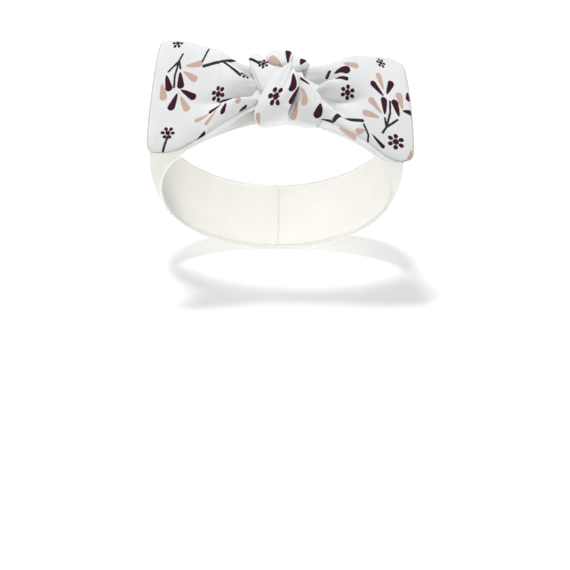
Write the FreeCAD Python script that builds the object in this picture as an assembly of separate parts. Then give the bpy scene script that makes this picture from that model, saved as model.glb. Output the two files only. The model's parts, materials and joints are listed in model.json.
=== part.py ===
"""A baby's knotted bow headband, as worn: a plain jersey band and a printed tie knotted round its front.

Millimetres. The origin is the centre of the head that the band goes round, +Z is up, and the bow
is at the front, towards -Y. Everything is modelled in the ring's own frame, where the band lies
flat: +X is the wearer's left hand side as seen from the front, -Y is outwards at the bow, and +Z is
across the band. turn_to_worn() then tips the ring back to the angle it is worn at.
"""

import FreeCAD, Part

import math
import os

# Head and band
HEAD_RADIUS = 70.0  # a 44 cm head
BAND_WIDTH = 41.0  # along the curve of the head, edge seam to edge seam
WEAR_TILT = 50.0  # degrees that the front of the ring stands above the horizontal
JERSEY = 0.9  # one layer of cotton jersey
BAND_LOFT = 2.3  # how far the outer layer puffs away from the lining, mid-width
LAYER_GAP = 0.25  # air between two layers that touch
SEAM_RADIUS = 0.95  # a turned seam with its allowance
BACK_SEAM_ARC = 5.0  # degrees of ring that the centre-back allowance covers

# Knot
SLIDE_GAP = 0.4  # between the tie and the band that it slides on
INNER_PASS = 1.1  # the tie's two layers, stretched, where they pass inside the band
INNER_PASS_ARC = (-10.0, 15.0)  # degrees of ring that the inner pass covers
LEG_OVERLAP = 1.5  # how far the inner pass's two legs reach into the knot, past the band
FULL_HALF_WIDTH = 9.0  # a pass of the tie narrower than this is thinner too
# Each pass: its (x, out, up, half width, heading) stations and its half thickness, nearest first
KNOT_STATIONS = {
    "knot_front_wrap": (
        ((8, 88, 7, 3, -110), (5, 87, -1, 7, -110), (0, 82.5, -11, 11, -104), (-2, 73.5, -22.5, 13.5, -95)),
        5.0,
    ),
    "knot_middle_fold": (
        ((11, 85.5, 5, 3, -75), (13, 83, -3, 5.5, -78), (12.5, 79, -11, 7.5, -82), (11.5, 74, -21.5, 8.5, -86)),
        4.0,
    ),
    "knot_right_fold": (
        ((15, 82, 6, 4, -60), (19, 80, -2, 6.5, -68), (18.6, 77.5, -11, 7.3, -80), (17.8, 74, -20.5, 7.5, -88)),
        4.0,
    ),
    "knot_upper_wrap": (
        ((1, 75.5, 22.5, 10.5, -95), (1, 80.5, 18.5, 12, -98), (-1, 84.5, 10, 11.5, -108), (-4, 82, -1, 7.5, -112)),
        4.5,
    ),
    "knot_left_fold": (
        ((-10.5, 76, 16.5, 4.5, -80), (-11, 79, 9, 5, -80), (-11, 79, 1, 5, -82), (-10.5, 77, -7, 4.5, -85)),
        5.0,
    ),
    "knot_right_lobe": (
        ((12.5, 76, 17, 5.5, -30), (16, 78.5, 12.5, 6.5, -32), (20, 78.5, 8, 5.5, -35), (24, 77, 4.5, 3.5, -38)),
        4.0,
    ),
    "knot_core": (
        ((4, 76.5, 13, 8.5, -90), (4, 78.5, 5, 11, -90), (4, 78, -7, 11, -90), (4, 76.5, -14, 8.5, -90)),
        4.0,
    ),
}

# Tails: (x, out, up) of the mid-line, half height, lean in degrees, crown, flare, from root to end
LEFT_STATIONS = (
    (-18.5, 78.0, -0.5, 13.5, 9.0, 5.0, 0.0),
    (-26.0, 77.5, -1.0, 18.0, 9.0, 4.5, 0.0),
    (-36.0, 76.0, -2.0, 24.5, 8.5, 3.5, 0.5),
    (-51.5, 72.0, -1.8, 31.0, 8.5, 2.5, 2.0),
    (-67.0, 70.5, -2.4, 32.5, 8.5, 2.0, 3.0),
)
RIGHT_STATIONS = (
    (28.7, 75.7, -2.9, 15.7, 4.8, 4.9, 0.0),
    (34.5, 74.0, -2.5, 19.5, 4.0, 4.5, 0.0),
    (45.0, 69.5, -2.5, 24.5, 3.0, 4.5, 0.5),
    (57.0, 63.0, -4.5, 27.5, 2.0, 4.5, 1.5),
    (73.0, 57.5, -4.8, 28.0, 2.0, 4.5, 2.5),
)
TAIL_PUFF = 3.0  # how far the two panels of a tail stand apart, mid-width
TAIL_SEAM_RADIUS = 0.8
TAIL_SEAM_OUT = 1.6  # from a panel's edge to the middle of its seam
ACROSS = (-1.0, -0.5, 0.0, 0.5, 1.0)  # from a tail's lower edge to its upper edge

EDGE_ANGLE = math.degrees(BAND_WIDTH / 2 / HEAD_RADIUS)
SEAM_ANGLE = EDGE_ANGLE + math.degrees((SEAM_RADIUS + LAYER_GAP) / HEAD_RADIUS)
HEM_ANGLE = SEAM_ANGLE + math.degrees((SEAM_RADIUS + SLIDE_GAP) / HEAD_RADIUS)
LINING_OUT = HEAD_RADIUS + JERSEY
OUTER_IN = LINING_OUT + LAYER_GAP
OUTER_TOP = OUTER_IN + BAND_LOFT + JERSEY
RING_AXIS = FreeCAD.Vector(0, 0, 1)
ORIGIN = FreeCAD.Vector(0, 0, 0)


def at(x, out, up):
    """A point in the ring's frame, from its offset to the side, outwards and across the band."""
    return FreeCAD.Vector(x, -out, up)


def on_section(radius, degrees):
    """A point of the band's cross-section, at the back of the ring, before it is turned."""
    angle = math.radians(degrees)
    return at(0, radius * math.cos(angle), radius * math.sin(angle))


def arc(radius_ends, radius_middle, degrees):
    """An arc across the band, from the lower edge to the upper edge."""
    middle = on_section(radius_middle, 0)
    return Part.Arc(on_section(radius_ends, -degrees), middle, on_section(radius_ends, degrees))


def ring_of(inner, outer, first=0.0, sweep=360.0):
    """The band-shaped solid between two arcs, swept from an angle about the ring's axis."""
    low = Part.LineSegment(inner.StartPoint, outer.StartPoint)
    high = Part.LineSegment(outer.EndPoint, inner.EndPoint)
    edges = [inner.toShape(), high.toShape(), outer.toShape(), low.toShape()]
    face = Part.Face(Part.Wire(Part.__sortEdges__(edges)))
    face.rotate(ORIGIN, RING_AXIS, first)
    return face.revolve(ORIGIN, RING_AXIS, sweep)


def band_lining():
    return ring_of(arc(HEAD_RADIUS, HEAD_RADIUS, EDGE_ANGLE), arc(LINING_OUT, LINING_OUT, EDGE_ANGLE))


def band_outer():
    inner = arc(OUTER_IN, OUTER_IN + BAND_LOFT, EDGE_ANGLE)
    return ring_of(inner, arc(OUTER_IN + JERSEY, OUTER_TOP, EDGE_ANGLE))


def band_edge_seam(side):
    """The turned edge of the band; side is 1 for the upper edge and -1 for the lower."""
    centre = on_section(HEAD_RADIUS + JERSEY, side * SEAM_ANGLE)
    ring = Part.makeTorus(math.hypot(centre.x, centre.y), SEAM_RADIUS)
    ring.translate(FreeCAD.Vector(0, 0, centre.z))
    return ring


def band_back_seam():
    """The allowance of the centre-back seam, which lies between the two layers."""
    height = EDGE_ANGLE * 0.8
    inner = arc(OUTER_IN, OUTER_IN, height)
    outer = arc(OUTER_IN + BAND_LOFT * 0.3, OUTER_IN + BAND_LOFT - LAYER_GAP, height)
    return ring_of(inner, outer, 180.0 - BACK_SEAM_ARC / 2, BACK_SEAM_ARC)


def tie_inner_pass():
    """The tie where it lies inside the band and turns round both of the band's edges."""
    outside = HEAD_RADIUS - SLIDE_GAP
    inside = outside - INNER_PASS
    hem = HEM_ANGLE + math.degrees(INNER_PASS / HEAD_RADIUS)
    leg_top = OUTER_TOP + LEG_OVERLAP
    first, last = INNER_PASS_ARC
    cover = ring_of(arc(inside, inside, hem), arc(leg_top, leg_top, hem), first, last - first)
    room = ring_of(
        arc(outside, outside, HEM_ANGLE),
        arc(leg_top + JERSEY, leg_top + JERSEY, HEM_ANGLE),
        first - 1,
        last - first + 2,
    )
    return cover.cut(room)


def oval(centre, wide, deep):
    """A closed oval wire, from its centre and two half-axes."""
    points = []
    for step in range(12):
        angle = math.radians(30 * step)
        points.append(centre + wide * math.cos(angle) + deep * math.sin(angle))
    curve = Part.BSplineCurve()
    curve.interpolate(Points=points, PeriodicFlag=True)
    return Part.Wire(curve.toShape())


def strand(stations, thickness):
    """A padded pass of the tie: a loft of ovals along (x, out, up, half width, heading) stations.

    heading is the direction that the pass runs in on the face of the knot, in degrees from +X.
    A pass is thinner where it narrows to a tip.
    """
    wires = []
    for x, out, up, half_width, heading in stations:
        angle = math.radians(heading)
        wide = at(-math.sin(angle) * half_width, 0, math.cos(angle) * half_width)
        deep = at(0, thickness * min(1.0, half_width / FULL_HALF_WIDTH), 0)
        wires.append(oval(at(x, out, up), wide, deep))
    return Part.makeLoft(wires, True, False)


def main_solid(shape):
    """The largest solid of a shape, without the scraps that a cut leaves."""
    return max(shape.Solids, key=lambda solid: solid.Volume)


def knot_passes():
    """Every pass of the knot by name, the nearest to the eye first, none of them overlapping."""
    room = Part.makeSphere(OUTER_TOP + SLIDE_GAP)
    passes = {}
    nearer = [tie_inner_pass()]
    for name, (stations, thickness) in KNOT_STATIONS.items():
        whole = strand(stations, thickness)
        passes[name] = main_solid(whole.cut(room).cut(Part.makeCompound(nearer)))
        nearer.append(whole)
    return passes


def tail_point(station, across, standoff):
    """A point of a tail: across from -1 to 1, standoff outwards from the tail's mid-surface."""
    x, out, up, half, lean, crown, flare = station
    angle = math.radians(lean)
    outward = out + half * across * math.sin(angle) + crown * (1 - across * across) + standoff
    side = math.copysign(1.0, x)
    return at(x - side * flare * across, outward, up + half * across * math.cos(angle))


def tail_face(stations, side, standoff):
    """One smooth face of a tail's panel, standoff away from the air between the two panels."""
    rows = []
    for station in stations:
        row = []
        for across in ACROSS:
            puff = LAYER_GAP + TAIL_PUFF / 2 * (1 - across**4) + standoff
            row.append(tail_point(station, across, side * puff))
        rows.append(row)
    surface = Part.BSplineSurface()
    surface.interpolate(rows)
    return surface.toShape()


def tail_panel(stations, side):
    """One panel of a tail: side is 1 for the front panel and -1 for the back."""
    inside = tail_face(stations, side, 0.0)
    outside = tail_face(stations, side, JERSEY)
    walls = [Part.makeRuledSurface(a, b) for a, b in zip(inside.Edges, outside.Edges)]
    shell = Part.makeShell([inside, outside, *walls])
    solid = Part.makeSolid(shell)
    return solid if solid.Volume > 0 else solid.reversed()


def bead(points):
    """A seam's allowance along a line of points."""
    wires = []
    for number, point in enumerate(points):
        before = points[max(0, number - 1)]
        after = points[min(len(points) - 1, number + 1)]
        circle = Part.Circle(point, after - before, TAIL_SEAM_RADIUS)
        wires.append(Part.Wire(circle.toShape()))
    return Part.makeLoft(wires, True, False)


def tail_edge_seam(stations, side):
    """The seam along a tail's upper edge (side 1) or lower edge (side -1)."""
    return bead([tail_point(s, side * (1 + TAIL_SEAM_OUT / s[3]), 0) for s in stations])


def tail_seam(stations):
    """The seam round a tail's upper edge, end and lower edge, just outside its two panels."""
    side = math.copysign(1.0, stations[-1][0])
    beyond = FreeCAD.Vector(side * TAIL_SEAM_OUT, 0, 0)
    end = bead([tail_point(stations[-1], across * 0.98, 0) + beyond for across in ACROSS])
    return Part.makeCompound([tail_edge_seam(stations, 1), end, tail_edge_seam(stations, -1)])


def all_pieces():
    pieces = {
        "band_outer": band_outer(),
        "band_lining": band_lining(),
        "band_upper_seam": band_edge_seam(1),
        "band_lower_seam": band_edge_seam(-1),
        "band_back_seam": band_back_seam(),
        "tie_inner_pass": tie_inner_pass(),
    }
    pieces.update(knot_passes())
    for side, stations in (("left", LEFT_STATIONS), ("right", RIGHT_STATIONS)):
        pieces[f"{side}_tail_front"] = tail_panel(stations, 1)
        pieces[f"{side}_tail_back"] = tail_panel(stations, -1)
        pieces[f"{side}_tail_seam"] = tail_seam(stations)
    return pieces


def turn_to_worn(shape):
    """Tips the ring back so that its front stands WEAR_TILT above the horizontal."""
    worn = shape.copy()
    worn.rotate(ORIGIN, FreeCAD.Vector(1, 0, 0), -WEAR_TILT)
    return worn


def write_parts():
    os.makedirs("parts", exist_ok=True)
    for name, shape in all_pieces().items():
        worn = turn_to_worn(shape)
        worn.exportStep(f"parts/{name}.step")
        solids = len(worn.Solids)
        box = worn.BoundBox
        print(
            f"{name}: {solids} solids, valid {worn.isValid()}, {worn.Volume:.0f} mm3,"
            f" {box.XLength:.1f} x {box.YLength:.1f} x {box.ZLength:.1f}"
        )


write_parts()
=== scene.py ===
import json
import math

import bmesh
import bpy
import numpy as np
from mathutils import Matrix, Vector


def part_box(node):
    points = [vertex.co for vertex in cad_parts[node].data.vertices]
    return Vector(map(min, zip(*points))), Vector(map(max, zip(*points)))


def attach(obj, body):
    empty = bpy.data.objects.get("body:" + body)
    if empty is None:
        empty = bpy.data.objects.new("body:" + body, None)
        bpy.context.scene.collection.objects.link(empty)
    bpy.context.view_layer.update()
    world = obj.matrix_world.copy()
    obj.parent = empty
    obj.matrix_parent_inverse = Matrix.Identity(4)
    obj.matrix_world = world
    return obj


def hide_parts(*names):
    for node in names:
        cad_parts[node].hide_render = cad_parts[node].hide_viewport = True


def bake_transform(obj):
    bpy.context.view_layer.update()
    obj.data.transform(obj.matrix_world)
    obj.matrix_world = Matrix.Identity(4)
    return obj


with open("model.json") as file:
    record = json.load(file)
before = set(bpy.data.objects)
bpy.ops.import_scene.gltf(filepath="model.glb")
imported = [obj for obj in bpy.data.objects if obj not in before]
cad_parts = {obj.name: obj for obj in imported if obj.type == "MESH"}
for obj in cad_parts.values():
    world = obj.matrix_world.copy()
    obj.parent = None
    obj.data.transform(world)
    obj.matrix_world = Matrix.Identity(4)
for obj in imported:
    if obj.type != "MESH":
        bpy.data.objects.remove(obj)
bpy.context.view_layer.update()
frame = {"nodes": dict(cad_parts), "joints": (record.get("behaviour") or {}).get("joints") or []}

# Shapes are worked out in the ring's own frame, in millimetres, as (x, out, up): out is away from
# the head at the bow, and up is along the ring's axis. worn() takes them to the row frame.
SLIDE = next(joint for joint in frame["joints"] if joint["name"] == "bow_slide")
AXIS = np.array(SLIDE["axis"], float)
TILT = math.atan2(AXIS[1], AXIS[2])
JERSEY = 0.9  # one layer of cloth
LINING_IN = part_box("band_lining")[1].x * 1000 - JERSEY
BAND_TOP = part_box("band_outer")[1].x * 1000
EDGE = math.radians(16.78)  # half the band's width, as an angle at the head's centre
SEAM_ANGLE = math.radians(17.76)
SEAM_RADIUS = 0.95
CLOTH_RADIUS = 72  # where lengths along the band's cloth are measured
SEED = 11
NO_PRINT = 9.0  # a distance from the nearest print that leaves cloth bare

# Camera
LENS_MM = 132.6
SENSOR_MM = 36.0
CAMERA_AT = (0.00468, -1.16673, 0.39169)
CAMERA_DOWN = math.radians(22.0)

# Colours, linear
WHITE = (0.84, 0.845, 0.85)
OFF_WHITE = (0.88, 0.87, 0.825)
# Beige is painted shade: the darker line along the tails' edges
EDGE_SHADE_BEIGE = (0.76, 0.67, 0.57)
PLUM = (0.042, 0.002, 0.016)
PINK = (0.61, 0.43, 0.355)
GREEN = (0.019, 0.026, 0.017)


# ---------------------------------------------------------------- curves and grids


def worn(points):
    """(x, out, up) in millimetres to the row frame, in metres."""
    points = np.asarray(points, float)
    x, out, up = points[..., 0], points[..., 1], points[..., 2]
    y = up * math.sin(TILT) - out * math.cos(TILT)
    z = up * math.cos(TILT) + out * math.sin(TILT)
    return np.stack([x, y, z], -1) / 1000


def spline(values, at, knots=None):
    """A natural cubic spline through rows of values, read at places from 0 to 1."""
    values = np.asarray(values, float)
    count = len(values)
    if knots is None:
        knots = np.linspace(0, 1, count)
    step = np.diff(knots)
    left, right = np.eye(count), np.zeros((count, count))
    for i in range(1, count - 1):
        left[i, i - 1 : i + 2] = step[i - 1], 2 * (step[i - 1] + step[i]), step[i]
        right[i, i - 1 : i + 2] = 6 / step[i - 1], -6 / step[i - 1] - 6 / step[i], 6 / step[i]
    bend = np.linalg.solve(left, right @ values)
    at = np.asarray(at, float)
    k = np.clip(np.searchsorted(knots, at, side="right") - 1, 0, count - 2)
    h = step[k]
    a, b = (knots[k + 1] - at) / h, (at - knots[k]) / h
    extra = (1,) * (values.ndim - 1)
    a, b, h = (t.reshape(t.shape + extra) for t in (a, b, h))
    bent = ((a**3 - a) * bend[k] + (b**3 - b) * bend[k + 1]) * h**2 / 6
    return a * values[k] + b * values[k + 1] + bent


def along(points):
    """Knots from 0 to 1 for a row of points, spaced as the points are."""
    length = np.cumsum(np.linalg.norm(np.diff(np.asarray(points, float), axis=0), axis=1))
    return np.concatenate([[0], length / length[-1]])


def smoothstep(low, high, value):
    t = np.clip((value - low) / (high - low), 0, 1)
    return t * t * (3 - 2 * t)


def unit(vectors):
    return vectors / np.maximum(np.linalg.norm(vectors, axis=-1, keepdims=True), 1e-12)


def grid_normals(grid, outward):
    """The normals of a grid of points, on the side that the outward vectors point to."""
    normals = unit(np.cross(np.gradient(grid, axis=0), np.gradient(grid, axis=1)))
    sign = np.sign((normals * outward).sum(-1, keepdims=True).mean())
    return normals * (sign if sign else 1.0)


def fabric_lengths(grid):
    """How far each point of a grid is along the cloth: from the first row, and from the middle."""
    rows = np.linalg.norm(np.diff(grid, axis=0), axis=2)
    middle = grid.shape[1] // 2
    s = np.concatenate([np.zeros((1, grid.shape[1])), np.cumsum(rows, axis=0)])
    s = np.repeat(s.mean(axis=1, keepdims=True), grid.shape[1], axis=1)
    columns = np.linalg.norm(np.diff(grid, axis=1), axis=2)
    t = np.concatenate([np.zeros((grid.shape[0], 1)), np.cumsum(columns, axis=1)], axis=1)
    return np.stack([s, t - t[:, middle : middle + 1]], -1)


def ripple(places, waves, seed):
    """A smooth small unevenness, from -1 to 1, for an array of places in millimetres."""
    random = np.random.default_rng(seed)
    total = np.zeros(places.shape[:-1])
    for length in waves:
        for _ in range(3):
            direction = unit(random.normal(size=places.shape[-1]))
            phase = random.uniform(0, 2 * math.pi)
            total += np.sin(2 * math.pi * (places @ direction) / length + phase)
    return total / (3 * len(waves))


# ---------------------------------------------------------------- meshes


def quads(rows, columns, first=0, closed_rows=False, closed_columns=False):
    """The faces of a grid of points that are numbered row by row."""
    row_count = rows if closed_rows else rows - 1
    column_count = columns if closed_columns else columns - 1
    i, j = np.meshgrid(np.arange(row_count), np.arange(column_count), indexing="ij")
    i2, j2 = (i + 1) % rows, (j + 1) % columns
    a, b, c, d = i * columns + j, i2 * columns + j, i2 * columns + j2, i * columns + j2
    return np.stack([a, b, c, d], -1).reshape(-1, 4) + first


def end_caps(rows, columns):
    """Fans that close a tube's two ends, to two middle points numbered after the tube's own."""
    k = np.arange(columns)
    caps = []
    for first, middle in ((0, rows * columns), ((rows - 1) * columns, rows * columns + 1)):
        fan = np.stack([k + first, (k + 1) % columns + first, np.full(columns, middle)], -1)
        caps += fan.tolist()
    return caps


def make_mesh(name, points, faces, fabric, inks=None, material=None):
    """An object from points in the ring's frame, with its cloth coordinates in millimetres."""
    mesh = bpy.data.meshes.new(name)
    mesh.from_pydata(worn(points).tolist(), [], [tuple(int(v) for v in f) for f in faces])
    mesh.validate()
    mesh.update()
    layer = mesh.uv_layers.new(name="fabric")
    corner = np.zeros(len(mesh.loops), np.int32)
    mesh.loops.foreach_get("vertex_index", corner)
    layer.data.foreach_set("uv", fabric[corner].astype(np.float32).ravel())
    for ink, distance in (inks or {}).items():
        attribute = mesh.attributes.new(ink, "FLOAT", "POINT")
        attribute.data.foreach_set("value", distance.astype(np.float32))
    mesh.polygons.foreach_set("use_smooth", np.ones(len(mesh.polygons), bool))
    piece = bpy.data.objects.new(name, mesh)
    bpy.context.scene.collection.objects.link(piece)
    if material:
        mesh.materials.append(material)
    recalculate(mesh)
    return piece


def recalculate(mesh):
    """Turns every face outwards."""
    work = bmesh.new()
    work.from_mesh(mesh)
    bmesh.ops.recalc_face_normals(work, faces=work.faces)
    work.to_mesh(mesh)
    work.free()


def cloth_shell(name, grid, outward, thickness, motifs, material, wrap=False, fabric=None):
    """A layer of cloth from the grid of its outer face; wrap closes it round its rows."""
    rows, columns = grid.shape[:2]
    if wrap:
        ring, way = (np.concatenate([a[-2:], a, a[:2]]) for a in (grid, outward))
        normals = grid_normals(ring, way)[2:-2]
    else:
        normals = grid_normals(grid, outward)
    inner = grid - normals * thickness
    points = np.concatenate([grid.reshape(-1, 3), inner.reshape(-1, 3)])
    if fabric is None:
        fabric = fabric_lengths(grid)
    flat = fabric.reshape(-1, 2)
    count = rows * columns
    faces = [quads(rows, columns, 0, closed_rows=wrap), quads(rows, columns, count, closed_rows=wrap)]
    numbers = np.arange(count).reshape(rows, columns)
    rims = [numbers[:, 0], numbers[:, -1]]
    if not wrap:
        rims += [numbers[0], numbers[-1]]
    for rim in rims:
        start, end = (rim, np.roll(rim, -1)) if wrap else (rim[:-1], rim[1:])
        faces.append(np.stack([start, end, end + count, start + count], -1))
    fabric = np.concatenate([flat, flat])
    inks = print_distances(fabric, motifs) if motifs is not None else None
    return make_mesh(name, points, np.concatenate(faces), fabric, inks, material)


def tube(name, line, radius, material, closed=False, sides=10):
    """A rolled seam along a line of points; radius may differ from point to point."""
    line = np.asarray(line, float)
    radius = np.broadcast_to(radius, len(line))
    if closed:
        ahead = unit(np.roll(line, -1, 0) - np.roll(line, 1, 0))
        side = unit(np.array([0.0, 0.0, 1.0]) - ahead * ahead[:, 2:3])
    else:
        ahead = unit(np.gradient(line, axis=0))
        side = unit(np.cross(ahead, np.array([0.0, 1.0, 0.0]) + 1e-3))
    top = np.cross(side, ahead)
    angle = np.linspace(0, 2 * math.pi, sides, endpoint=False)
    ring = side[:, None] * np.cos(angle)[:, None] + top[:, None] * np.sin(angle)[:, None]
    points = line[:, None] + ring * radius[:, None, None]
    length = np.concatenate([[0], np.cumsum(np.linalg.norm(np.diff(line, axis=0), axis=1))])
    turn = angle * float(np.mean(radius))
    fabric = np.stack(np.broadcast_arrays(length[:, None], turn[None]), -1).reshape(-1, 2)
    faces = quads(len(line), sides, closed_rows=closed, closed_columns=True).tolist()
    points = points.reshape(-1, 3)
    if not closed:
        points = np.concatenate([points, line[:1], line[-1:]])
        fabric = np.concatenate([fabric, fabric[:1], fabric[-1:]])
        faces += end_caps(len(line), sides)
    return make_mesh(name, points, faces, fabric, None, material)


# ---------------------------------------------------------------- print


def stroke(p, start, end, start_radius, end_radius, bulge=1.0):
    """The distance from points to a stroke whose half-width changes along it."""
    start, end = np.asarray(start, float), np.asarray(end, float)
    line = end - start
    t = np.clip((p - start) @ line / (line @ line), 0, 1)
    nearest = start + t[:, None] * line
    return np.linalg.norm(p - nearest, axis=1) - (start_radius + (end_radius - start_radius) * t**bulge)


def turned(angle, length=1.0):
    angle = math.radians(angle)
    return np.array([math.cos(angle), math.sin(angle)]) * length


def drop(p, x, y, angle, length=10.4, width=4.1):
    """A teardrop leaf: its tip is at (x, y) and it widens along the angle."""
    tip = np.array([x, y])
    return stroke(p, tip, tip + turned(angle, length - width / 2), 0.1, width / 2, 0.58)


def twig(p, *points, thick=1.25):
    """A stem through points."""
    near = [stroke(p, a, b, thick / 2, thick / 2) for a, b in zip(points, points[1:])]
    return np.min(near, axis=0)


def flower(p, x, y, size=8.6, angle=30):
    """A round flower: a middle dot and six oval dots round it."""
    scale = size / 8.6
    near = [np.hypot(p[:, 0] - x, p[:, 1] - y) - 1.6 * scale]
    for k in range(6):
        out = turned(angle + 60 * k)
        centre = np.array([x, y])
        inner, outer = centre + out * 3.0 * scale, centre + out * 3.3 * scale
        near.append(stroke(p, inner, outer, 1.15 * scale, 1.2 * scale))
    return np.min(near, axis=0)


DRAWN = {"drop": drop, "twig": twig, "flower": flower}


def print_distances(fabric, motifs):
    """How far each point of the cloth is from the nearest print of each ink, in millimetres."""
    inks = {ink: np.full(len(fabric), NO_PRINT) for ink in ("plum", "pink", "green")}
    for ink, kind, *numbers in motifs:
        options = numbers.pop() if isinstance(numbers[-1], dict) else {}
        inks[ink] = np.minimum(inks[ink], DRAWN[kind](fabric, *numbers, **options))
    return inks


# ---------------------------------------------------------------- materials


class Nodes:
    """A short way to write a material's nodes."""

    def __init__(self, name):
        self.material = bpy.data.materials.new(name)
        self.material.use_nodes = True
        self.tree = self.material.node_tree
        self.shader = self.tree.nodes["Principled BSDF"]

    def add(self, kind, **settings):
        node = self.tree.nodes.new(kind)
        for key, value in settings.items():
            setattr(node, key, value)
        return node

    def join(self, value, socket):
        if hasattr(value, "is_output"):
            self.tree.links.new(value, socket)
        else:
            socket.default_value = value

    def math(self, operation, a, b=0.0, clamp=False):
        node = self.add("ShaderNodeMath", operation=operation, use_clamp=clamp)
        self.join(a, node.inputs[0])
        self.join(b, node.inputs[1])
        return node.outputs[0]

    def mix(self, factor, a, b):
        node = self.add("ShaderNodeMix", data_type="RGBA")
        self.join(factor, node.inputs["Factor"])
        self.join((*a, 1.0) if isinstance(a, tuple) else a, node.inputs["A"])
        self.join((*b, 1.0) if isinstance(b, tuple) else b, node.inputs["B"])
        return node.outputs["Result"]

    def noise(self, scale, detail=2.0, coordinates=None):
        node = self.add("ShaderNodeTexNoise")
        node.inputs["Scale"].default_value = scale
        node.inputs["Detail"].default_value = detail
        if coordinates is not None:
            self.join(coordinates, node.inputs["Vector"])
        return node.outputs["Fac"]

    def ramp(self, value, low, high, low_to=0.0, high_to=1.0):
        node = self.add("ShaderNodeMapRange")
        self.join(value, node.inputs["Value"])
        limits = {"From Min": low, "From Max": high, "To Min": low_to, "To Max": high_to}
        for label, number in limits.items():
            node.inputs[label].default_value = number
        return node.outputs["Result"]


def knit_height(nodes, wale, course, rib):
    """The height of a knit face: columns of small V stitches, from 0 to 1."""
    fabric = nodes.add("ShaderNodeUVMap", uv_map="fabric").outputs[0]
    split = nodes.add("ShaderNodeSeparateXYZ")
    nodes.join(fabric, split.inputs[0])
    u, v = split.outputs[0], split.outputs[1]
    column = nodes.math("PINGPONG", nodes.math("DIVIDE", u, wale), 0.5)
    slope = nodes.math("ADD", nodes.math("DIVIDE", v, course), column)
    stitch = nodes.math("SINE", nodes.math("MULTIPLY", slope, 2 * math.pi))
    stitch = nodes.math("MULTIPLY_ADD", stitch, 0.5)
    stitch.node.inputs[2].default_value = 0.5
    groove = nodes.math("SINE", nodes.math("MULTIPLY", column, math.pi))
    groove = nodes.math("MULTIPLY", groove, rib)
    return nodes.math("ADD", nodes.math("MULTIPLY", stitch, 1 - rib), groove)


def cloth_material(name, ground, wale=0.75, course=0.6, rib=0.5, depth=0.10, line=0.12, printed=False):
    """Cotton jersey: a knit relief, a soft nap, slightly uneven colour, painted shade in the knit's
    grooves and, if asked, the print.
    """
    nodes = Nodes(name)
    height = knit_height(nodes, wale, course, rib)
    place = nodes.add("ShaderNodeTexCoord").outputs["Object"]
    fibre = nodes.noise(2600.0, 3.0, place)
    cloud = nodes.noise(60.0, 2.0, place)
    shade = nodes.ramp(cloud, 0.3, 0.7)
    darker = tuple(c * 0.965 for c in ground)
    colour = nodes.mix(shade, darker, ground)
    # Painted shade: the colour darkens in the knit's grooves, by up to line
    groove = nodes.ramp(height, 0.0, 0.6, line, 0.0)
    colour = nodes.mix(groove, colour, tuple(c * 0.6 for c in ground))
    if printed:
        ragged = nodes.ramp(nodes.noise(1500.0, 2.0, place), 0.3, 0.7, -0.1, 0.1)
        for ink, paint in (("pink", PINK), ("plum", PLUM), ("green", GREEN)):
            distance = nodes.add("ShaderNodeAttribute", attribute_name=ink).outputs["Fac"]
            cover = nodes.ramp(nodes.math("ADD", distance, ragged), 0.12, -0.12)
            pale = tuple(c * 0.98 + 0.02 * g for c, g in zip(paint, ground))
            faded = nodes.mix(nodes.ramp(fibre, 0.35, 0.7), paint, pale)
            colour = nodes.mix(cover, colour, faded)
    nodes.join(colour, nodes.shader.inputs["Base Color"])
    nodes.join(nodes.ramp(fibre, 0.3, 0.7, 0.82, 0.95), nodes.shader.inputs["Roughness"])
    nodes.shader.inputs["Sheen Weight"].default_value = 0.03
    nodes.shader.inputs["Sheen Roughness"].default_value = 0.5
    nodes.shader.inputs["Specular IOR Level"].default_value = 0.12
    relief = nodes.math("ADD", nodes.math("MULTIPLY", height, 0.8), nodes.math("MULTIPLY", fibre, 0.35))
    bump = nodes.add("ShaderNodeBump")
    bump.inputs["Strength"].default_value = 0.55
    bump.inputs["Distance"].default_value = depth / 1000
    nodes.join(relief, bump.inputs["Height"])
    nodes.join(bump.outputs[0], nodes.shader.inputs["Normal"])
    return nodes.material


PRINTED = cloth_material("printed_jersey", WHITE, wale=0.95, course=0.8, depth=0.2, printed=True)
# The plain tie's knit grooves get stronger painted shade (line=0.4)
PLAIN_TIE = cloth_material("plain_tie_jersey", WHITE, wale=1.1, course=0.9, rib=0.9, depth=0.3, line=0.4)
BAND_JERSEY = cloth_material("band_jersey", OFF_WHITE, wale=1.1, course=0.8, rib=0.7, depth=0.2)
BAND_SEAM = cloth_material("band_seam", OFF_WHITE, wale=0.8, course=0.65, rib=0.6)
# The tails' edge seams are tinted beige as painted shade along their edges
TIE_SEAM_SHADED = cloth_material("tie_seam_painted_shade", EDGE_SHADE_BEIGE, wale=0.8, course=0.65, rib=0.6)


# ---------------------------------------------------------------- band


def band_point(theta, radius, phi):
    """A point of the band: theta round the ring from the front, phi across it from its middle."""
    flat = radius * np.cos(phi)
    return np.stack([flat * np.sin(theta), flat * np.cos(theta), radius * np.sin(phi)], -1)


def gathered(theta, phi):
    """The band's width where the tie gathers it: phi, drawn in near the knot."""
    turn = np.angle(np.exp(1j * theta))  # theta brought to between -pi and pi
    spread = np.where(turn < 0, math.radians(24), math.radians(34))
    return phi * (1 - 0.19 * np.exp(-((turn / spread) ** 2)))


def band_waver(theta, phi):
    """The small unevenness of a stretched band, none of it where the tie holds it."""
    free = smoothstep(0.25, 0.8, np.abs(np.angle(np.exp(1j * theta))))
    soft = np.sin(3 * theta + 0.7) * 0.4 + np.sin(7 * theta + 6 * phi + 2.1) * 0.25
    soft += np.sin(11 * theta - 9 * phi) * 0.2
    return free * soft


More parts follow.
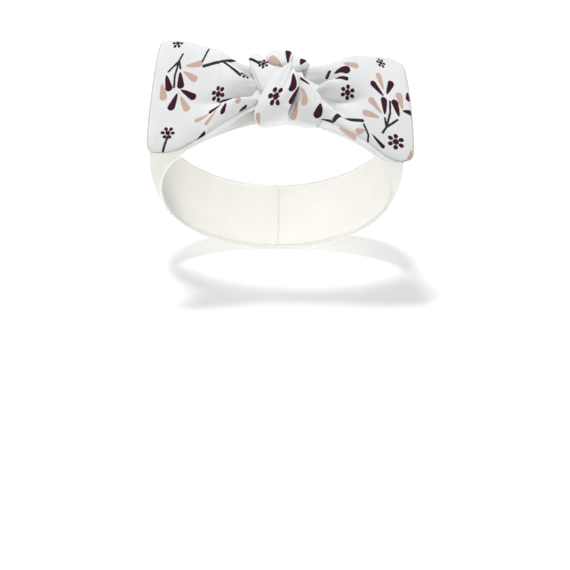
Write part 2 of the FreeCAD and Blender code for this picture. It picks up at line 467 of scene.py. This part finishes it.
def band_layer(name, rows, columns, half_width, radius_at, thickness):
    """One layer of the band, from the radius of its outer face."""
    theta = np.linspace(-math.pi, math.pi, rows, endpoint=False)[:, None]
    phi = np.linspace(-half_width, half_width, columns)[None]
    theta, phi = np.broadcast_arrays(theta, phi)
    grid = band_point(theta, radius_at(theta, phi / half_width), gathered(theta, phi))
    outward = band_point(theta, 1.0, phi)
    fabric = np.stack([theta * CLOTH_RADIUS, phi * CLOTH_RADIUS], -1)
    return cloth_shell(name, grid, outward, thickness, None, BAND_JERSEY, wrap=True, fabric=fabric)


def puffed(across):
    """The radius of the band's outer face before its small unevenness; across is 1 at its edges."""
    ends = LINING_IN + JERSEY + SEAM_RADIUS
    return ends + (BAND_TOP - ends) * np.clip(1 - across**2, 0, 1)


def clear_of_band(grid, gap):
    """Brings cloth that would be in the band out to lie on it, with a gap."""
    radius = np.linalg.norm(grid, axis=-1)
    phi = np.abs(np.arcsin(grid[..., 2] / radius))
    over = 1 - smoothstep(SEAM_ANGLE, SEAM_ANGLE + 0.06, phi)
    short = np.maximum(puffed(phi / SEAM_ANGLE) + gap - radius, 0) * over
    return grid * (1 + short / radius)[..., None]


def outer_radius(theta, across):
    """The outer layer's outer face: puffed along its middle, with a groove at the centre back."""
    loft = 1 - across**2
    back = (math.pi - np.abs(theta)) * CLOTH_RADIUS
    groove = 0.9 * np.exp(-((back / 0.9) ** 2)) - 0.35 * np.exp(-(((back - 2.2) / 1.6) ** 2))
    turn = np.abs(theta - math.radians(2.5))
    gather = np.sin(across * 13 + theta * 3) * 0.3 * np.exp(-(((turn - 0.3) / 0.22) ** 2))
    return puffed(across) + loft * (0.4 * band_waver(theta, across * EDGE) - groove + gather)


def lining_radius(theta, across):
    back = (math.pi - np.abs(theta)) * CLOTH_RADIUS
    groove = 0.3 * np.exp(-((back / 0.8) ** 2))
    return LINING_IN + JERSEY - groove + 0.12 * band_waver(theta + 0.4, across * EDGE)


def hold_band(piece, node):
    """Hides the model's part for this piece of the band, and bakes the piece's place into its mesh."""
    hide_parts(node)
    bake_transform(piece)


def make_band():
    outer = band_layer("band_outer_jersey", 380, 40, math.radians(17.6), outer_radius, JERSEY)
    hold_band(outer, "band_outer")
    lining = band_layer("band_lining_jersey", 360, 30, math.radians(17.3), lining_radius, JERSEY)
    hold_band(lining, "band_lining")
    for side, name in ((1, "upper"), (-1, "lower")):
        theta = np.linspace(-math.pi, math.pi, 420, endpoint=False)
        phi = gathered(theta, side * (SEAM_ANGLE + 0.0015 * np.sin(5 * theta + side)))
        line = band_point(theta, LINING_IN + JERSEY + 0.05 * np.sin(9 * theta), phi)
        pucker = SEAM_RADIUS * (1 + 0.03 * np.sin(theta * 150))
        seam = tube(f"band_{name}_edge", line, pucker, BAND_SEAM, closed=True)
        hold_band(seam, f"band_{name}_seam")
    make_back_seam()


def make_back_seam():
    """The centre-back seam's allowance, overlocked, between the two layers."""
    phi = np.linspace(-EDGE * 0.8, EDGE * 0.8, 80)[:, None]
    side = np.linspace(-1, 1, 24)[None]
    phi, side = np.broadcast_arrays(phi, side)
    radius = LINING_IN + JERSEY + 0.3 + 0.5 + 0.35 * (1 - side**2) + 0.12 * np.sin(phi * 260 + side * 4)
    grid = band_point(math.pi + side * 0.042, radius, phi)
    outward = band_point(math.pi + side * 0.042, 1.0, phi)
    seam = cloth_shell("band_back_allowance", grid, outward, 0.45, None, BAND_SEAM)
    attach(seam, "band")
    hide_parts("band_back_seam")


# ---------------------------------------------------------------- tails

# A tail from root to end: its upper edge and lower edge as (x, out, up), how far it crowns, how
# round its upper and lower corners are, how far its end bows, and how far its back panel hangs
# below its front panel. The edges' x and up, and most places in CREASES, are another script's
# output from points of an outline, some of them changed by hand since
TAILS = {
    "left": {
        "upper": (
            (-6, 66, 15.5), (-14, 72.5, 15.5), (-23, 78.5, 16.2), (-31, 79, 21.7), (-39, 78, 25.1),
            (-47.5, 77.2, 28.1), (-56, 76.4, 29.9), (-64.8, 76, 30.3),
        ),
        "lower": (
            (-4, 68.5, -8), (-11, 74, -10.8), (-21.5, 74, -17.3), (-30, 72, -22.5), (-39, 69.8, -27.2),
            (-48.5, 67.8, -32.2), (-59, 66.4, -36.3), (-71.4, 66, -36.8),
        ),
        "crown": (3, 4.5, 6.0, 5.6, 4.8, 3.6, 2.4, 1.5),
        "corners": (0.022, 0.035),
        "bow": 1.0,
        "peek": (2.6, 2.8, 2.6, 3.7, 3.2, 2.0, 0.6, 0),
    },
    "right": {
        "upper": (
            (8, 69, 15), (18, 74.5, 14.5), (30, 76.4, 15.3), (38.9, 75, 20), (46.1, 71.5, 23),
            (53.7, 68, 25), (61.5, 64, 26.9), (71.3, 60.5, 27.6),
        ),
        "lower": (
            (8, 65, -10), (16, 67, -15), (25, 71.5, -20), (33.7, 72, -22.8), (42, 68.8, -25.8),
            (50, 64, -28.5), (60.4, 58, -34.2), (76.2, 54, -37.1),
        ),
        "crown": (3, 4, 5.5, 5, 4.5, 4.5, 4.5, 4.5),
        "corners": (0.065, 0.055),
        "bow": 1.0,
        "peek": (3.5, 4.0, 4.4, 4.4, 4.4, 4.0, 2.4, 0),
    },
}
# Creases: lines of (x, up, depth, reach above, reach below)
CREASES = {
    "left": (
        (
            (-9, 4.5, 6, 4.5, 1.3), (-14.6, 6, 6, 4.5, 1.3), (-18.3, 7.8, 5, 4.5, 1.5),
            (-25.8, 13, 2.5, 5, 2.5), (-32, 17.5, 0, 6, 5),
        ),
        (
            (-4, -4.0, 7, 3, 1.1), (-8.8, -4.8, 7.5, 3, 1.1), (-15.6, -6.4, 7.5, 3, 1.1),
            (-25.1, -8.6, 6.5, 3.5, 1.3), (-31, -9.8, 6, 7, 2.4), (-37, -9, 6.2, 11, 7),
            (-46, -9, 4, 14, 10), (-57, -9, 1.2, 16, 12),
        ),
        ((-36, -3, 0, 9, 9), (-44, 4, 1.2, 10, 10), (-54, 6, 0.2, 12, 12)),
    ),
    "right": (
        (
            (12, -1, 7, 5, 1.2), (17.4, 0.6, 7, 5, 1.2), (24.9, 3.1, 6, 5, 1.3),
            (32.9, 4.9, 3.6, 5, 2), (36.5, 5.5, 1.8, 6, 4), (43, 6, 0, 8, 7),
        ),
        (
            (19, -5, 7, 4, 1.2), (24.9, -7.3, 8, 4, 1.2), (28.6, -9.2, 8, 4, 1.2),
            (32.2, -11.7, 7.4, 4, 1.2), (35.4, -14.6, 5.8, 5, 1.5), (40.5, -18, 2.6, 7, 3),
            (46, -20.5, 0.2, 8, 4),
        ),
        (
            (27, -4.5, 4, 4, 4), (34, -5.5, 8.5, 5, 6), (42, -5, 7.2, 6, 9), (50, -4, 2.4, 8, 11),
            (60, -2, 0, 12, 12),
        ),
    ),
}


def crease_depth(x, up, line):
    """How far one crease pulls the cloth in at each (x, up)."""
    path = spline(line, np.linspace(0, 1, 50), along(np.asarray(line)[:, :2]))
    start, step = path[:-1, :2], np.diff(path[:, :2], axis=0)
    place = np.stack([x, up], -1)[..., None, :] - start
    t = np.clip((place * step).sum(-1) / (step**2).sum(-1), 0, 1)
    offset = place - t[..., None] * step
    away = np.linalg.norm(offset, axis=-1)
    nearest = away.argmin(-1)[..., None]

    def pick(values):
        return np.take_along_axis(values, nearest, -1)[..., 0]

    t, away, offset_x, offset_up = pick(t), pick(away), pick(offset[..., 0]), pick(offset[..., 1])
    k = nearest[..., 0]
    numbers = path[k, 2:] * (1 - t[..., None]) + path[k + 1, 2:] * t[..., None]
    side = step[k, 0] * offset_up - step[k, 1] * offset_x
    side = side * np.sign(step[k, 0])
    depth = np.maximum(numbers[..., 0], 0)
    reach = np.where(side > 0, numbers[..., 1], numbers[..., 2])
    q = np.sqrt((away / reach) ** 2 + 0.04) - 0.2
    return depth * np.exp(-q)


def tail_base(tail, s, v):
    """A tail's mid-surface before its folds, at s from root to end and v from -1 to 1 across."""
    knots = along((np.asarray(tail["upper"]) + np.asarray(tail["lower"])) / 2)
    corner = s**14 * np.abs(v) ** 12 * np.where(v > 0, *tail["corners"])
    s_in, v_in = s - corner, v * (1 - corner * 0.9)
    upper = spline(tail["upper"], s_in, knots)
    lower = spline(tail["lower"], s_in, knots)
    crown = spline(np.asarray(tail["crown"], float), s_in, knots)
    w = ((v_in + 1) / 2)[..., None]
    points = lower * (1 - w) + upper * w
    round_root = np.sqrt(np.clip(1 - v_in**2, 0, 1))
    near_root = 1 - smoothstep(0.0, 0.6, s_in)
    points[..., 1] += crown * (round_root * near_root + (1 - v_in**2) * (1 - near_root))
    side = np.sign(tail["upper"][-1][0])
    points[..., 0] += side * tail["bow"] * (1 - v_in**2) * s_in**4
    return points


def edge_puff(s, v):
    """1 over most of a tail and 0 at its sewn edges, with a round shoulder."""
    return np.sqrt(np.clip(1 - np.abs(v) ** 10, 0, 1)) * np.sqrt(np.clip(1 - s**30, 0, 1))


def panel_grid(side, front, rows, columns):
    """The outer face of a tail's front or back panel, with its folds."""
    tail = TAILS[side]
    s = np.linspace(0, 1, rows)[:, None]
    v = np.linspace(-1, 1, columns)[None]
    s, v = np.broadcast_arrays(s, v)
    grid = tail_base(tail, s, v)
    fold = sum(crease_depth(grid[..., 0], grid[..., 2], line) for line in CREASES[side])
    gathers = np.sin(v * 17 + 1.0) * 0.35 * np.exp(-s * 5) + np.sin(v * 29 + 2.0) * 0.2 * np.exp(-s * 7)
    soft = 0.25 * ripple(grid[..., [0, 2]], (34, 21), SEED) * edge_puff(s, v)
    puff = (0.5 + 1.5 * edge_puff(s, v)) * (1 if front else -1)
    grid[..., 1] += puff - fold * (1.0 if front else 0.85) + gathers + soft
    if not front:
        peek = spline(np.asarray(tail["peek"], float), s)
        grid[..., 2] -= peek * np.clip(-v, 0, 1) ** 4
        grid[..., 1] += 0.1 * peek * np.clip(-v, 0, 1) ** 4
    return clear_of_band(grid, 2.4 if front else 0.3)


def tail_panel(side, front):
    grid = panel_grid(side, front, *((128, 136) if front else (90, 96)))
    outward = np.array([0.0, 1.0 if front else -1.0, 0.0])
    printed = front or side == "right"
    name = f"{side}_tail_{'front' if front else 'back'}_jersey"
    motifs = PRINTS.get((side, front), ()) if printed else None
    return cloth_shell(name, grid, outward, JERSEY, motifs, PRINTED if printed else PLAIN_TIE)


def tail_edge(side):
    """The seam round a tail's upper edge, end and lower edge, tinted beige as painted shade along the
    edge.
    """
    beyond = 0.25
    s = np.linspace(0.0, 1.0, 90)
    across = np.linspace(1, -1, 80)[1:-1]
    places = [(a, 1.0) for a in s] + [(1.0, b) for b in across] + [(a, -1.0) for a in s[::-1]]
    places = np.array(places)
    line = tail_base(TAILS[side], places[:, 0], places[:, 1])
    centre = tail_base(TAILS[side], np.clip(places[:, 0] - 0.12, 0, 1), places[:, 1] * 0.8)
    fold = sum(crease_depth(line[..., 0], line[..., 2], crease) for crease in CREASES[side])
    away = unit((line - centre) * np.array([1, 0, 1]))
    line = line + away * beyond
    line[:, 1] -= fold
    line = clear_of_band(line, 1.3)
    number = np.arange(len(line))
    radius = 0.42 + 0.03 * np.sin(number * 2.3)
    return tube(f"{side}_tail_edge", line, radius, TIE_SEAM_SHADED)


def make_tail(side):
    for front in (True, False):
        panel = tail_panel(side, front)
        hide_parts(f"{side}_tail_{'front' if front else 'back'}")
        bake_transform(panel)
    seam = tail_edge(side)
    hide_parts(f"{side}_tail_seam")
    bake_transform(seam)


# ---------------------------------------------------------------- knot

# A pass of the tie, from one end to the other: its two edges as (x, out, up), and its crown
PASSES = {
    "front_wrap": (
        ((8, 83, 11), (9, 83.5, 10), 0.8),
        ((6.5, 85, 9), (8.7, 85.5, 8), 1.5),
        ((2.5, 84, 6.5), (8.2, 86, 3), 2.4),
        ((-1.5, 82.5, 3), (7.5, 86, -2), 3.0),
        ((-5.5, 80, -2.5), (6.5, 85, -7), 3.6),
        ((-9, 77.5, -8.5), (6, 82.5, -12), 4.2),
        ((-11.8, 74, -14), (6.6, 79, -16.5), 4.2),
        ((-12.3, 71.5, -18), (6.6, 75.5, -19.2), 3.2),
        ((-11.0, 70, -20.4), (6.5, 71.5, -19.8), 2.4),
        ((-9.0, 68, -21.3), (6.2, 68.8, -20.0), 1.3),
        ((-8.5, 67.5, -18.5), (6, 67.9, -17.3), 0.4),
    ),
    "middle_fold": (
        ((8.5, 84, 6.5), (9.5, 84, 6), 0.8),
        ((8.2, 85.5, 4.5), (10.3, 85.2, 3.7), 1.6),
        ((7, 86.8, -1.5), (12, 85.3, -1), 2.2),
        ((5.0, 86.6, -6.5), (12.5, 84, -4.5), 2.6),
        ((2.2, 85.2, -11), (11, 83, -9.5), 2.6),
        ((1.4, 83, -14), (9, 81.5, -13), 1.8),
        ((2.5, 79, -17), (7, 79, -17), 0.5),
    ),
    "right_fold": (
        ((10.5, 82, 5), (13, 82, 4), 1.0),
        ((11, 83, 2.7), (14, 83, 2.5), 1.8),
        ((11.5, 82.5, 0), (17, 82.3, -0.8), 2.6),
        ((11, 81, -4), (21, 80.5, -4.3), 3.4),
        ((10, 79.5, -9.5), (24.6, 78.5, -9), 3.8),
        ((7.5, 77, -14), (25.7, 76.5, -14), 3.8),
        ((6, 74, -17.5), (25.2, 74, -17.6), 3.2),
        ((6, 71, -19.2), (23.8, 71.3, -21.6), 2.2),
        ((6.3, 68.3, -19.6), (22.6, 68.3, -21.7), 1.3),
        ((6.5, 67.9, -17.2), (20.5, 66.4, -18.6), 0.4),
    ),
    "upper_wrap": (
        ((-9, 68.2, 14), (13, 67.5, 13.5), 0.4),
        ((-10, 66.5, 18.5), (14.3, 66, 17.6), 0.9),
        ((-13, 69, 21.3), (14.3, 68.8, 18.7), 1.6),
        ((-14.5, 75, 20), (11, 76, 16.5), 2.6),
        ((-14, 77, 15), (7.5, 80.5, 9.5), 3.4),
        ((-13, 78, 8.5), (4, 81, 3), 3.4),
        ((-11, 78.3, 2.5), (0, 80, -2), 2.8),
        ((-9, 77.5, -1.8), (-3, 78.5, -5.5), 2.0),
        ((-7.5, 75.5, -5), (-5, 76.5, -7.5), 1.0),
    ),
    "left_fold": (
        ((-12, 67.6, 14.5), (-5, 68.1, 14.5), 0.4),
        ((-12.5, 66, 18.8), (-6, 66.5, 19), 0.9),
        ((-14.7, 69, 21.2), (-8.5, 70, 21.7), 1.4),
        ((-15.8, 74.5, 19.5), (-8, 76.5, 19), 2.6),
        ((-15.3, 76.5, 15.5), (-6, 78, 15), 2.8),
        ((-14.2, 77, 9), (-5, 78.5, 8.5), 2.6),
        ((-12.2, 77, 3), (-5, 78.5, 2), 2.2),
        ((-10.3, 76.5, -1.5), (-5, 77.5, -2.5), 1.8),
        ((-8.5, 75, -4.5), (-5, 76, -5.5), 1.2),
    ),
    "top_roll": (
        ((-3, 68.2, 14), (8, 68, 14), 0.4),
        ((-3.5, 66.6, 19.5), (8.5, 66.6, 19.5), 1.0),
        ((-4.6, 70, 22.8), (9, 70, 22.3), 1.6),
        ((-5.2, 74.5, 23), (9, 74.5, 23), 2.0),
        ((-5.8, 79, 18.8), (9.2, 79.2, 19), 3.4),
        ((-5, 81.5, 13.5), (8.6, 82.3, 13.5), 3.4),
        ((-3, 82, 10.5), (7.2, 83, 9.8), 2.0),
        ((-1.5, 80.5, 9), (6.5, 81.5, 8), 0.8),
    ),
    "right_lobe": (
        ((5, 74, 21), (5, 78, 11), 1.5),
        ((7.5, 76.5, 20), (7.5, 79.5, 9), 2.8),
        ((10.5, 77, 19), (10.3, 79.5, 7.5), 3.2),
        ((13.5, 76.5, 18), (12.8, 78.3, 9.3), 3.2),
        ((15.6, 75.3, 17), (15.3, 76.8, 11), 3.0),
        ((17.0, 73.8, 15.8), (16.9, 74.6, 12.8), 2.0),
        ((17.4, 72.5, 15), (17.4, 72.9, 13.8), 0.8),
    ),
    "core": (
        ((-4, 73, 16), (11, 73, 15), 2),
        ((-7, 76, 10), (14, 76, 10), 3),
        ((-8, 77, 2), (16, 77, 2), 3),
        ((-7, 76, -8), (18, 76, -8), 3),
        ((-6, 73, -15), (17, 73, -15), 2),
    ),
}
# Creases of a pass, as a tail's: (x, up, depth, reach above or left, reach below or right)
PASS_CREASES = {
    "front_wrap": (
        ((6, 5, 0.6, 1.2, 1.2), (2, -4, 0.8, 1.8, 1.8), (-2, -13, 0.5, 3, 3), (-3, -20, 0.9, 2, 2)),
        ((3, -14, 0.0, 3, 3), (4, -20, 1.0, 2.5, 2.5)),
    ),
    "right_fold": (
        ((13, 0, 0.5, 1.5, 1.5), (13.5, -8, 1.1, 1.8, 2.2), (12, -15, 0.8, 2, 3), (11, -21, 0.4, 2, 3)),
        ((18, -1, 0.2, 1.5, 1.5), (21, -8, 0.6, 1.5, 2), (20, -18, 0.5, 2, 2)),
    ),
    "top_roll": (((3, 24, 1.0, 2, 2), (2.5, 18, 0.8, 2.2, 2.2), (1, 12, 0.3, 3, 3)),),
    "upper_wrap": (((-6.5, 20, 1.8, 2, 2), (-5, 14, 1.0, 2.5, 2.5), (-5, 6, 0.2, 3, 3)),),
}


def pass_grid(key, rows, columns):
    """The skin of a pass: a strip of cloth, rounded over its crown, and its cloth coordinates."""
    left = np.array([station[0] for station in PASSES[key]], float)
    right = np.array([station[1] for station in PASSES[key]], float)
    crown = np.array([station[2] for station in PASSES[key]], float)
    knots = along((left + right) / 2)
    s = np.linspace(0, 1, rows)
    left, right, crown = (spline(values, s, knots) for values in (left, right, crown))
    centre, half = (left + right) / 2, (right - left) / 2
    ahead = unit(np.gradient(centre, axis=0))
    deep = unit(np.cross(ahead, half))
    deep *= np.sign(deep[rows // 2, 1])
    turn = np.linspace(0, 2 * math.pi, columns, endpoint=False)[None]
    c, d = np.cos(turn), np.sin(turn)
    raised = np.where(d > 0, np.abs(d) ** 0.85, -0.5 * np.abs(d)) * crown[:, None]
    grid = centre[:, None] + half[:, None] * c[..., None] + deep[:, None] * raised[..., None]
    pull = sum(crease_depth(grid[..., 0], grid[..., 2], line) for line in PASS_CREASES.get(key, ()))
    grid = grid - deep[:, None] * (pull * np.clip(d * 3, 0, 1))[..., None]
    length = np.concatenate([[0], np.cumsum(np.linalg.norm(np.diff(centre, axis=0), axis=1))])
    width = np.linalg.norm(half, axis=1)[:, None]
    across = np.where(d >= 0, c * 1.15, np.sign(c) * 1.15 + (np.sign(c) - c) * 1.15) * width
    return grid, np.stack(np.broadcast_arrays(length[:, None], across), -1)


def make_pass(key, rows=72, columns=84):
    """A pass of the tie as a closed roll of cloth, printed on the side that shows."""
    grid, fabric = pass_grid(key, rows, columns)
    grid = grid + (0.12 * ripple(grid, (11, 7), SEED + len(key)))[..., None] * np.array([0.3, 1.0, 0.3])
    points = np.concatenate([grid.reshape(-1, 3), grid[0].mean(0)[None], grid[-1].mean(0)[None]])
    flat = np.concatenate([fabric.reshape(-1, 2), fabric[0].mean(0)[None], fabric[-1].mean(0)[None]])
    k = np.arange(columns)
    faces = quads(rows, columns, closed_columns=True).tolist() + end_caps(rows, columns)
    back = np.broadcast_to(np.sin(2 * math.pi * k / columns) < -0.3, (rows, columns))
    inks = print_distances(flat, PRINTS.get(key, ()))
    hidden = np.concatenate([back.ravel(), [True, True]])
    for distance in inks.values():
        distance[hidden] = NO_PRINT
    piece = make_mesh(f"knot_{key}_jersey", points, faces, flat, inks, PRINTED)
    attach(piece, "knot")
    if key != "top_roll":
        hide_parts(f"knot_{key}")
    length, half_width = fabric.reshape(-1, 2).max(0)
    flat = (round(2 * half_width / 1000, 3), round(length / 1000, 3))


# Half of the tie's way round the band, as (radius, degrees from the band's middle)
INNER_SECTION = ((68.5, 0), (68.5, 8), (68.6, 13.2), (69.1, 14.9), (70.5, 15.7), (72.5, 15.6), (75, 14.6))


def make_inner_pass():
    """The tie inside the band, gathered lengthways, and where it turns round the band's edges."""
    first, last = math.radians(-9.8), math.radians(14.8)
    turn = np.linspace(first, last, 64)[None]
    half = np.array(INNER_SECTION, float)
    section = np.concatenate([half[:0:-1], half * (1, -1)])
    path = spline(section, np.linspace(0, 1, 120), np.linspace(0, 1, len(section)))
    radius, phi = path[:, :1], np.radians(path[:, 1:])
    side = (turn - (first + last) / 2) / ((last - first) / 2)
    radius = radius - np.maximum(radius - 69.5, 0) * 0.8 * side**6
    inside = 1 - smoothstep(69.5, 72, radius)
    gather = 0.16 * np.sin(turn * 62) + 0.09 * np.sin(turn * 117 + 1) - 0.3 * (1 - side**8)
    grid = band_point(turn, radius + inside * gather, phi * (1 - 0.02 * side**2))
    outward = np.array([0.0, -1.0, 0.0])
    piece = cloth_shell("tie_inner_jersey", grid, outward, 0.8, PRINTS.get("inner", ()), PRINTED)
    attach(piece, "knot")
    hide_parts("tie_inner_pass")


def make_knot():
    for key in PASSES:
        make_pass(key)
    make_inner_pass()


# ---------------------------------------------------------------- print layout

# Prints, in cloth millimetres: along the tail or pass from its root, and across from its middle.
# A drop has its tip's place and the angle that it widens at
SMALL = {"size": 7, "angle": 8}
THICK = {"thick": 2}
FAT = {"width": 5}
THIN = {"length": 9, "width": 2.4}
SHORT = {"length": 6, "width": 3.4}


def spray(x, y, way):
    """The print's repeated motif: a forked stem and its leaves; way is 1 upright and -1 upside down."""
    stems = (((0, 0), (2, 4), (4, 13), (4, 20)), ((1, 9), (2, 4), (8, 10)))
    leaves = (
        ("pink", -1, 11, 140), ("pink", -2, 8, 180), ("plum", 1, 11, 95), ("plum", 9, 12, 105),
        ("pink", 11, 17, 100), ("plum", 0, 22, 145), ("pink", 0, 26, 115), ("plum", 2, 24, 70),
    )
    drawn = [("green", "twig", *((x + a, y + way * b) for a, b in stem)) for stem in stems]
    return drawn + [(ink, "drop", x + a, y + way * b, way * angle) for ink, a, b, angle in leaves]


LEFT_PRINT = (
    *spray(53, 23, -1),
    ("plum", "flower", 31, -6),
    ("plum", "flower", 57, 31, SMALL),
    ("plum", "flower", 59, -24, SMALL),
    ("plum", "flower", 13, 4, SMALL),
    ("green", "twig", (59, -26), (62, -36)),
    ("green", "twig", (37, 24), (41, 16)),
    ("green", "twig", (40, 13), (28, 13), (20, 17), THICK),
    ("green", "twig", (27, 13), (17, 3), THICK),
    ("green", "twig", (30, -11), (23, -11)),
    ("plum", "drop", 28, -15, -10, THIN),
    ("plum", "drop", 26, -17, -60, SHORT),
    ("pink", "drop", 32, -17, -40, THIN),
    ("pink", "drop", 36, -17, -15, THIN),
    ("pink", "drop", 19, -14, -90, SHORT),
    ("plum", "drop", 14, -22, -45, SHORT),
    ("plum", "drop", 39, -26, -60, FAT),
)
RIGHT_PRINT = (
    *spray(56, -20, 1),
    ("plum", "flower", 34, -1),
    ("plum", "flower", 54, 24, SMALL),
    ("plum", "flower", 63, -23),
    ("green", "twig", (28, -27), (32, -19), (44, -17), THICK),
    ("green", "twig", (45, -19), (48, -24), (48, -28)),
    ("green", "twig", (20, 11), (21, 14), THICK),
    ("green", "twig", (19, -26), (27, -29), THICK),
    ("plum", "drop", 67, -4, 0, SHORT),
    ("plum", "drop", 71, 9, -90, SHORT),
    ("pink", "drop", 71, -26, -85, SHORT),
    ("plum", "drop", 50, -23, -35, THIN),
    ("pink", "drop", 46, -22, -155, SHORT),
    ("pink", "drop", 29, 16, 0),
    ("plum", "drop", 24, 12, 0, FAT),
    ("plum", "drop", 25, 8, -10, THIN),
)
RIGHT_BACK_PRINT = (
    *spray(53, 23, -1),
    ("plum", "flower", 31, -6),
    ("pink", "drop", 30, -27, -5),
    ("pink", "drop", 55, -29, -20, SHORT),
)
PRINTS = {
    ("left", True): LEFT_PRINT,
    ("right", True): RIGHT_PRINT,
    ("right", False): RIGHT_BACK_PRINT,
    "upper_wrap": (("plum", "flower", 25, -4, SMALL), ("green", "twig", (21, -13), (25, -7), THICK)),
    "left_fold": (("green", "twig", (20, -4), (24, 1), THICK),),
    "top_roll": (
        ("pink", "drop", 33, 2, -120, FAT),
        ("plum", "drop", 31, 5, 175),
    ),
    "right_lobe": (("plum", "drop", 9, 3, -75, SHORT),),
    "front_wrap": (
        ("plum", "flower", 24, 3, {"size": 10}),
        ("pink", "drop", 38, -8, 180, SHORT),
    ),
    "middle_fold": (
        ("plum", "drop", 6, -1, 5, FAT),
        ("plum", "drop", 13, 4, -5),
    ),
    "right_fold": (
        ("plum", "twig", (5, 0), (7, 3), THICK),
        ("pink", "drop", 10, -3, 5),
        ("pink", "drop", 18, -7, 0),
        ("plum", "drop", 19, 8, 0, {"length": 8, "width": 6}),
    ),
    "inner": (
        ("plum", "flower", 22, 4),
        ("pink", "drop", 34, -6, 60),
        ("plum", "drop", 46, 3, 100),
        ("green", "twig", (6, -8), (12, -5), (20, -6)),
        ("plum", "drop", 12, -1, 40),
        ("pink", "drop", 52, -5, 20),
    ),
}


# ---------------------------------------------------------------- stage


def make_stage():
    """A pale floor under the lowest point that glows as painted light, its glow brighter away from the
    headband.
    """
    low = min(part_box(node)[0].z for node in frame["nodes"])
    size = 8.0
    mesh = bpy.data.meshes.new("floor")
    corners = [(-size, -size, low), (size, -size, low), (size, size, low), (-size, size, low)]
    mesh.from_pydata(corners, [], [(0, 1, 2, 3)])
    floor = bpy.data.objects.new("floor", mesh)
    bpy.context.scene.collection.objects.link(floor)
    nodes = Nodes("pale_floor")
    place = nodes.add("ShaderNodeTexCoord").outputs["Object"]
    cloud = nodes.noise(3.0, 2.0, place)
    pale = nodes.mix(cloud, (0.93, 0.93, 0.93), (0.97, 0.97, 0.97))
    nodes.join(pale, nodes.shader.inputs["Base Color"])
    nodes.shader.inputs["Roughness"].default_value = 0.9
    # Painted light: the floor glows, dimmer near the headband and brighter away from it
    nodes.shader.inputs["Emission Color"].default_value = (1, 1, 1, 1)
    away = nodes.add("ShaderNodeVectorMath", operation="LENGTH")
    nodes.join(place, away.inputs[0])
    glow = nodes.ramp(away.outputs["Value"], 0.3, 2.0, 0.34, 0.66)
    nodes.join(glow, nodes.shader.inputs["Emission Strength"])
    mesh.materials.append(nodes.material)


def area_light(name, at, size, power):
    light = bpy.data.lights.new(name, "AREA")
    light.shape = "DISK"
    light.size = size
    light.energy = power
    lamp = bpy.data.objects.new(name, light)
    lamp.location = at
    lamp.rotation_euler = (Vector((0, 0, 0)) - Vector(at)).to_track_quat("-Z", "Y").to_euler()
    bpy.context.scene.collection.objects.link(lamp)


def make_light():
    area_light("key", (-0.2, 0.0, 1.5), 0.45, 18.0)
    area_light("fill", (0.4, -1.4, 0.0), 0.8, 1.6)
    area_light("left", (-1.35, 0.0, 0.3), 0.8, 2.4)
    area_light("right", (1.35, 0.0, 0.3), 0.8, 3.4)
    world = bpy.data.worlds.new("studio")
    world.use_nodes = True
    background = world.node_tree.nodes["Background"]
    background.inputs["Color"].default_value = (1, 1, 1, 1)
    background.inputs["Strength"].default_value = 0.255
    bpy.context.scene.world = world
    bpy.context.scene.view_settings.view_transform = "Standard"


def make_camera():
    camera = bpy.data.objects.new("camera", bpy.data.cameras.new("camera"))
    camera.data.lens = LENS_MM
    camera.data.sensor_width = SENSOR_MM
    camera.location = CAMERA_AT
    camera.rotation_euler = (math.pi / 2 - CAMERA_DOWN, 0, 0)
    bpy.context.scene.collection.objects.link(camera)
    bpy.context.scene.camera = camera


make_camera()
make_stage()
make_light()
make_band()
make_tail("left")
make_tail("right")
make_knot()
